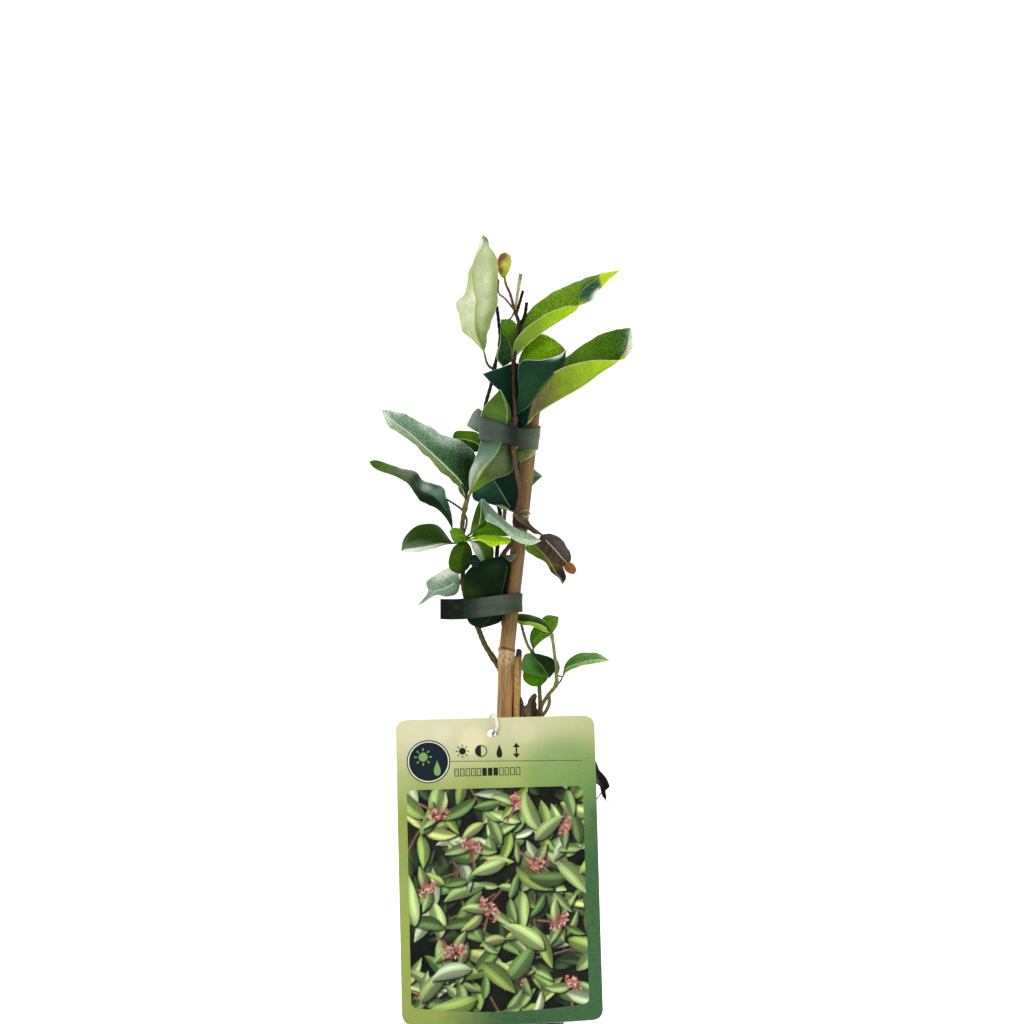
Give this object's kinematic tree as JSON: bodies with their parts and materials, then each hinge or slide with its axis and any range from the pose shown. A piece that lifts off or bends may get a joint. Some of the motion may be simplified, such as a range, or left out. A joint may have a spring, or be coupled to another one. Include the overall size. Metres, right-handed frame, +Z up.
{
  "type": "honeysuckle vine",
  "caption": "Young honeysuckle vine in a square nursery pot, its twining stems held to a bamboo cane by tapes, with a plain picture label tied on in front.",
  "frame": {"origin": "on the ground under the middle of the pot's base", "axes": "+Z up the cane, -Y towards the front, where the label hangs, +X to the right seen from the front"},
  "size_m": [0.1323, 0.1102, 0.3947],
  "materials": {
    "pot_plastic": "satin moulded black plastic",
    "potting_soil": "composted bark and wood fibre, moist and crumbly",
    "bamboo": "smooth tan cane with fine fibres",
    "old_wood": "weathered bark",
    "leaf_green": "glossy above, matte and paler below",
    "leaf_silver": "matte, pale and downy",
    "leaf_pale": "matte, whitish green, lit through",
    "leaf_young": "soft satin",
    "dead_leaf": "dry and wrinkled",
    "tape_film": "soft translucent film, satin",
    "label_print": "printed plastic card, satin",
    "tie_white": "soft white plastic"
  },
  "bodies": {
    "root": {"pot": "pot_plastic", "soil": "potting_soil", "bamboo_cane": "bamboo", "old_stem_stub": "old_wood", "shoot_front": "leaf_green", "shoot_left": "leaf_silver", "shoot_back": "leaf_pale", "shoot_low_right": "leaf_young", "withered_leaf": "dead_leaf", "withered_leaf_low": "dead_leaf", "dry_scraps": "dead_leaf", "tie_tape_upper": "tape_film", "tie_tape_lower": "tape_film", "label_card": "label_print", "label_tie": "tie_white"}
  },
  "joints": []
}
